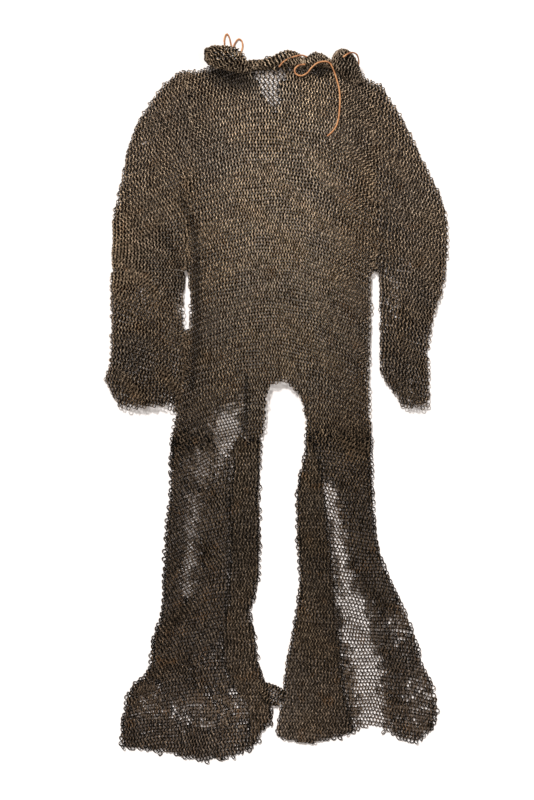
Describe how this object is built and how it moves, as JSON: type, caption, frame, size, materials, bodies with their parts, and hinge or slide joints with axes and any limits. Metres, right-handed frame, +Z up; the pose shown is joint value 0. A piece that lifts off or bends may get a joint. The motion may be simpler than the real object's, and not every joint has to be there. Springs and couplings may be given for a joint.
{
  "type": "long chainmail shirt",
  "caption": "Long sleeved mail shirt lying flat, with a split skirt, rolled collar and leather neck lace; sleeves and skirt tails fold on interlocked rings.",
  "frame": {"origin": "centre of the shirt's outline, on the surface that the shirt lies on, which its back touches", "axes": "+Y runs from the hem to the collar, +Z up out of the chest, +X to the viewer's right; left and right are the viewer's"},
  "size_m": [0.691, 1.4616, 0.0485],
  "materials": {
    "mail": "aged dark iron rings with a worn, slightly rusty sheen",
    "lace": "thin orange-brown leather thong, frayed at its free end"
  },
  "bodies": {
    "body": {"body_front": "mail", "body_back": "mail", "collar_roll_left": "mail", "collar_roll_right": "mail", "collar_fold_left": "mail", "collar_fold_right": "mail", "lace_left": "lace", "lace_back": "lace", "lace_main": "lace", "lace_right": "lace"},
    "sleeve_left": {"sleeve_front_left": "mail", "sleeve_back_left": "mail"},
    "sleeve_right": {"sleeve_front_right": "mail", "sleeve_back_right": "mail"},
    "forearm_left": {"forearm_front_left": "mail", "forearm_back_left": "mail"},
    "forearm_right": {"forearm_front_right": "mail", "forearm_back_right": "mail"},
    "tail_left": {"tail_left": "mail", "tail_fold_left": "mail"},
    "tail_right": {"tail_right": "mail", "tail_fold_right": "mail"},
    "lower_tail_left": {"lower_tail_left": "mail", "lower_tail_fold_left": "mail", "hem_roll": "mail"},
    "lower_tail_right": {"lower_tail_right": "mail", "lower_tail_fold_right": "mail"}
  },
  "joints": [
    {"name": "shoulder_left", "type": "hinge", "parent": "body", "child": "sleeve_left", "pos_m": [-0.174, 0.46705, 0.016], "axis": [0, 1, 0], "range_deg": [0, 90]},
    {"name": "shoulder_right", "type": "hinge", "parent": "body", "child": "sleeve_right", "pos_m": [0.194, 0.46705, 0.016], "axis": [0, -1, 0], "range_deg": [0, 90]},
    {"name": "elbow_left", "type": "hinge", "parent": "sleeve_left", "child": "forearm_left", "pos_m": [-0.256, 0.26705, 0.016], "axis": [-1, 0, 0], "range_deg": [0, 150]},
    {"name": "elbow_right", "type": "hinge", "parent": "sleeve_right", "child": "forearm_right", "pos_m": [0.276, 0.26705, 0.016], "axis": [-1, 0, 0], "range_deg": [0, 150]},
    {"name": "hip_left", "type": "hinge", "parent": "body", "child": "tail_left", "pos_m": [-0.112, -0.02895, 0.016], "axis": [-1, 0, 0], "range_deg": [0, 90]},
    {"name": "hip_right", "type": "hinge", "parent": "body", "child": "tail_right", "pos_m": [0.125, -0.02895, 0.016], "axis": [-1, 0, 0], "range_deg": [0, 90]},
    {"name": "knee_left", "type": "hinge", "parent": "tail_left", "child": "lower_tail_left", "pos_m": [-0.136, -0.38895, 0.0045], "axis": [-1, 0, 0], "range_deg": [0, 110]},
    {"name": "knee_right", "type": "hinge", "parent": "tail_right", "child": "lower_tail_right", "pos_m": [0.147, -0.38895, 0.0045], "axis": [-1, 0, 0], "range_deg": [0, 110]}
  ]
}
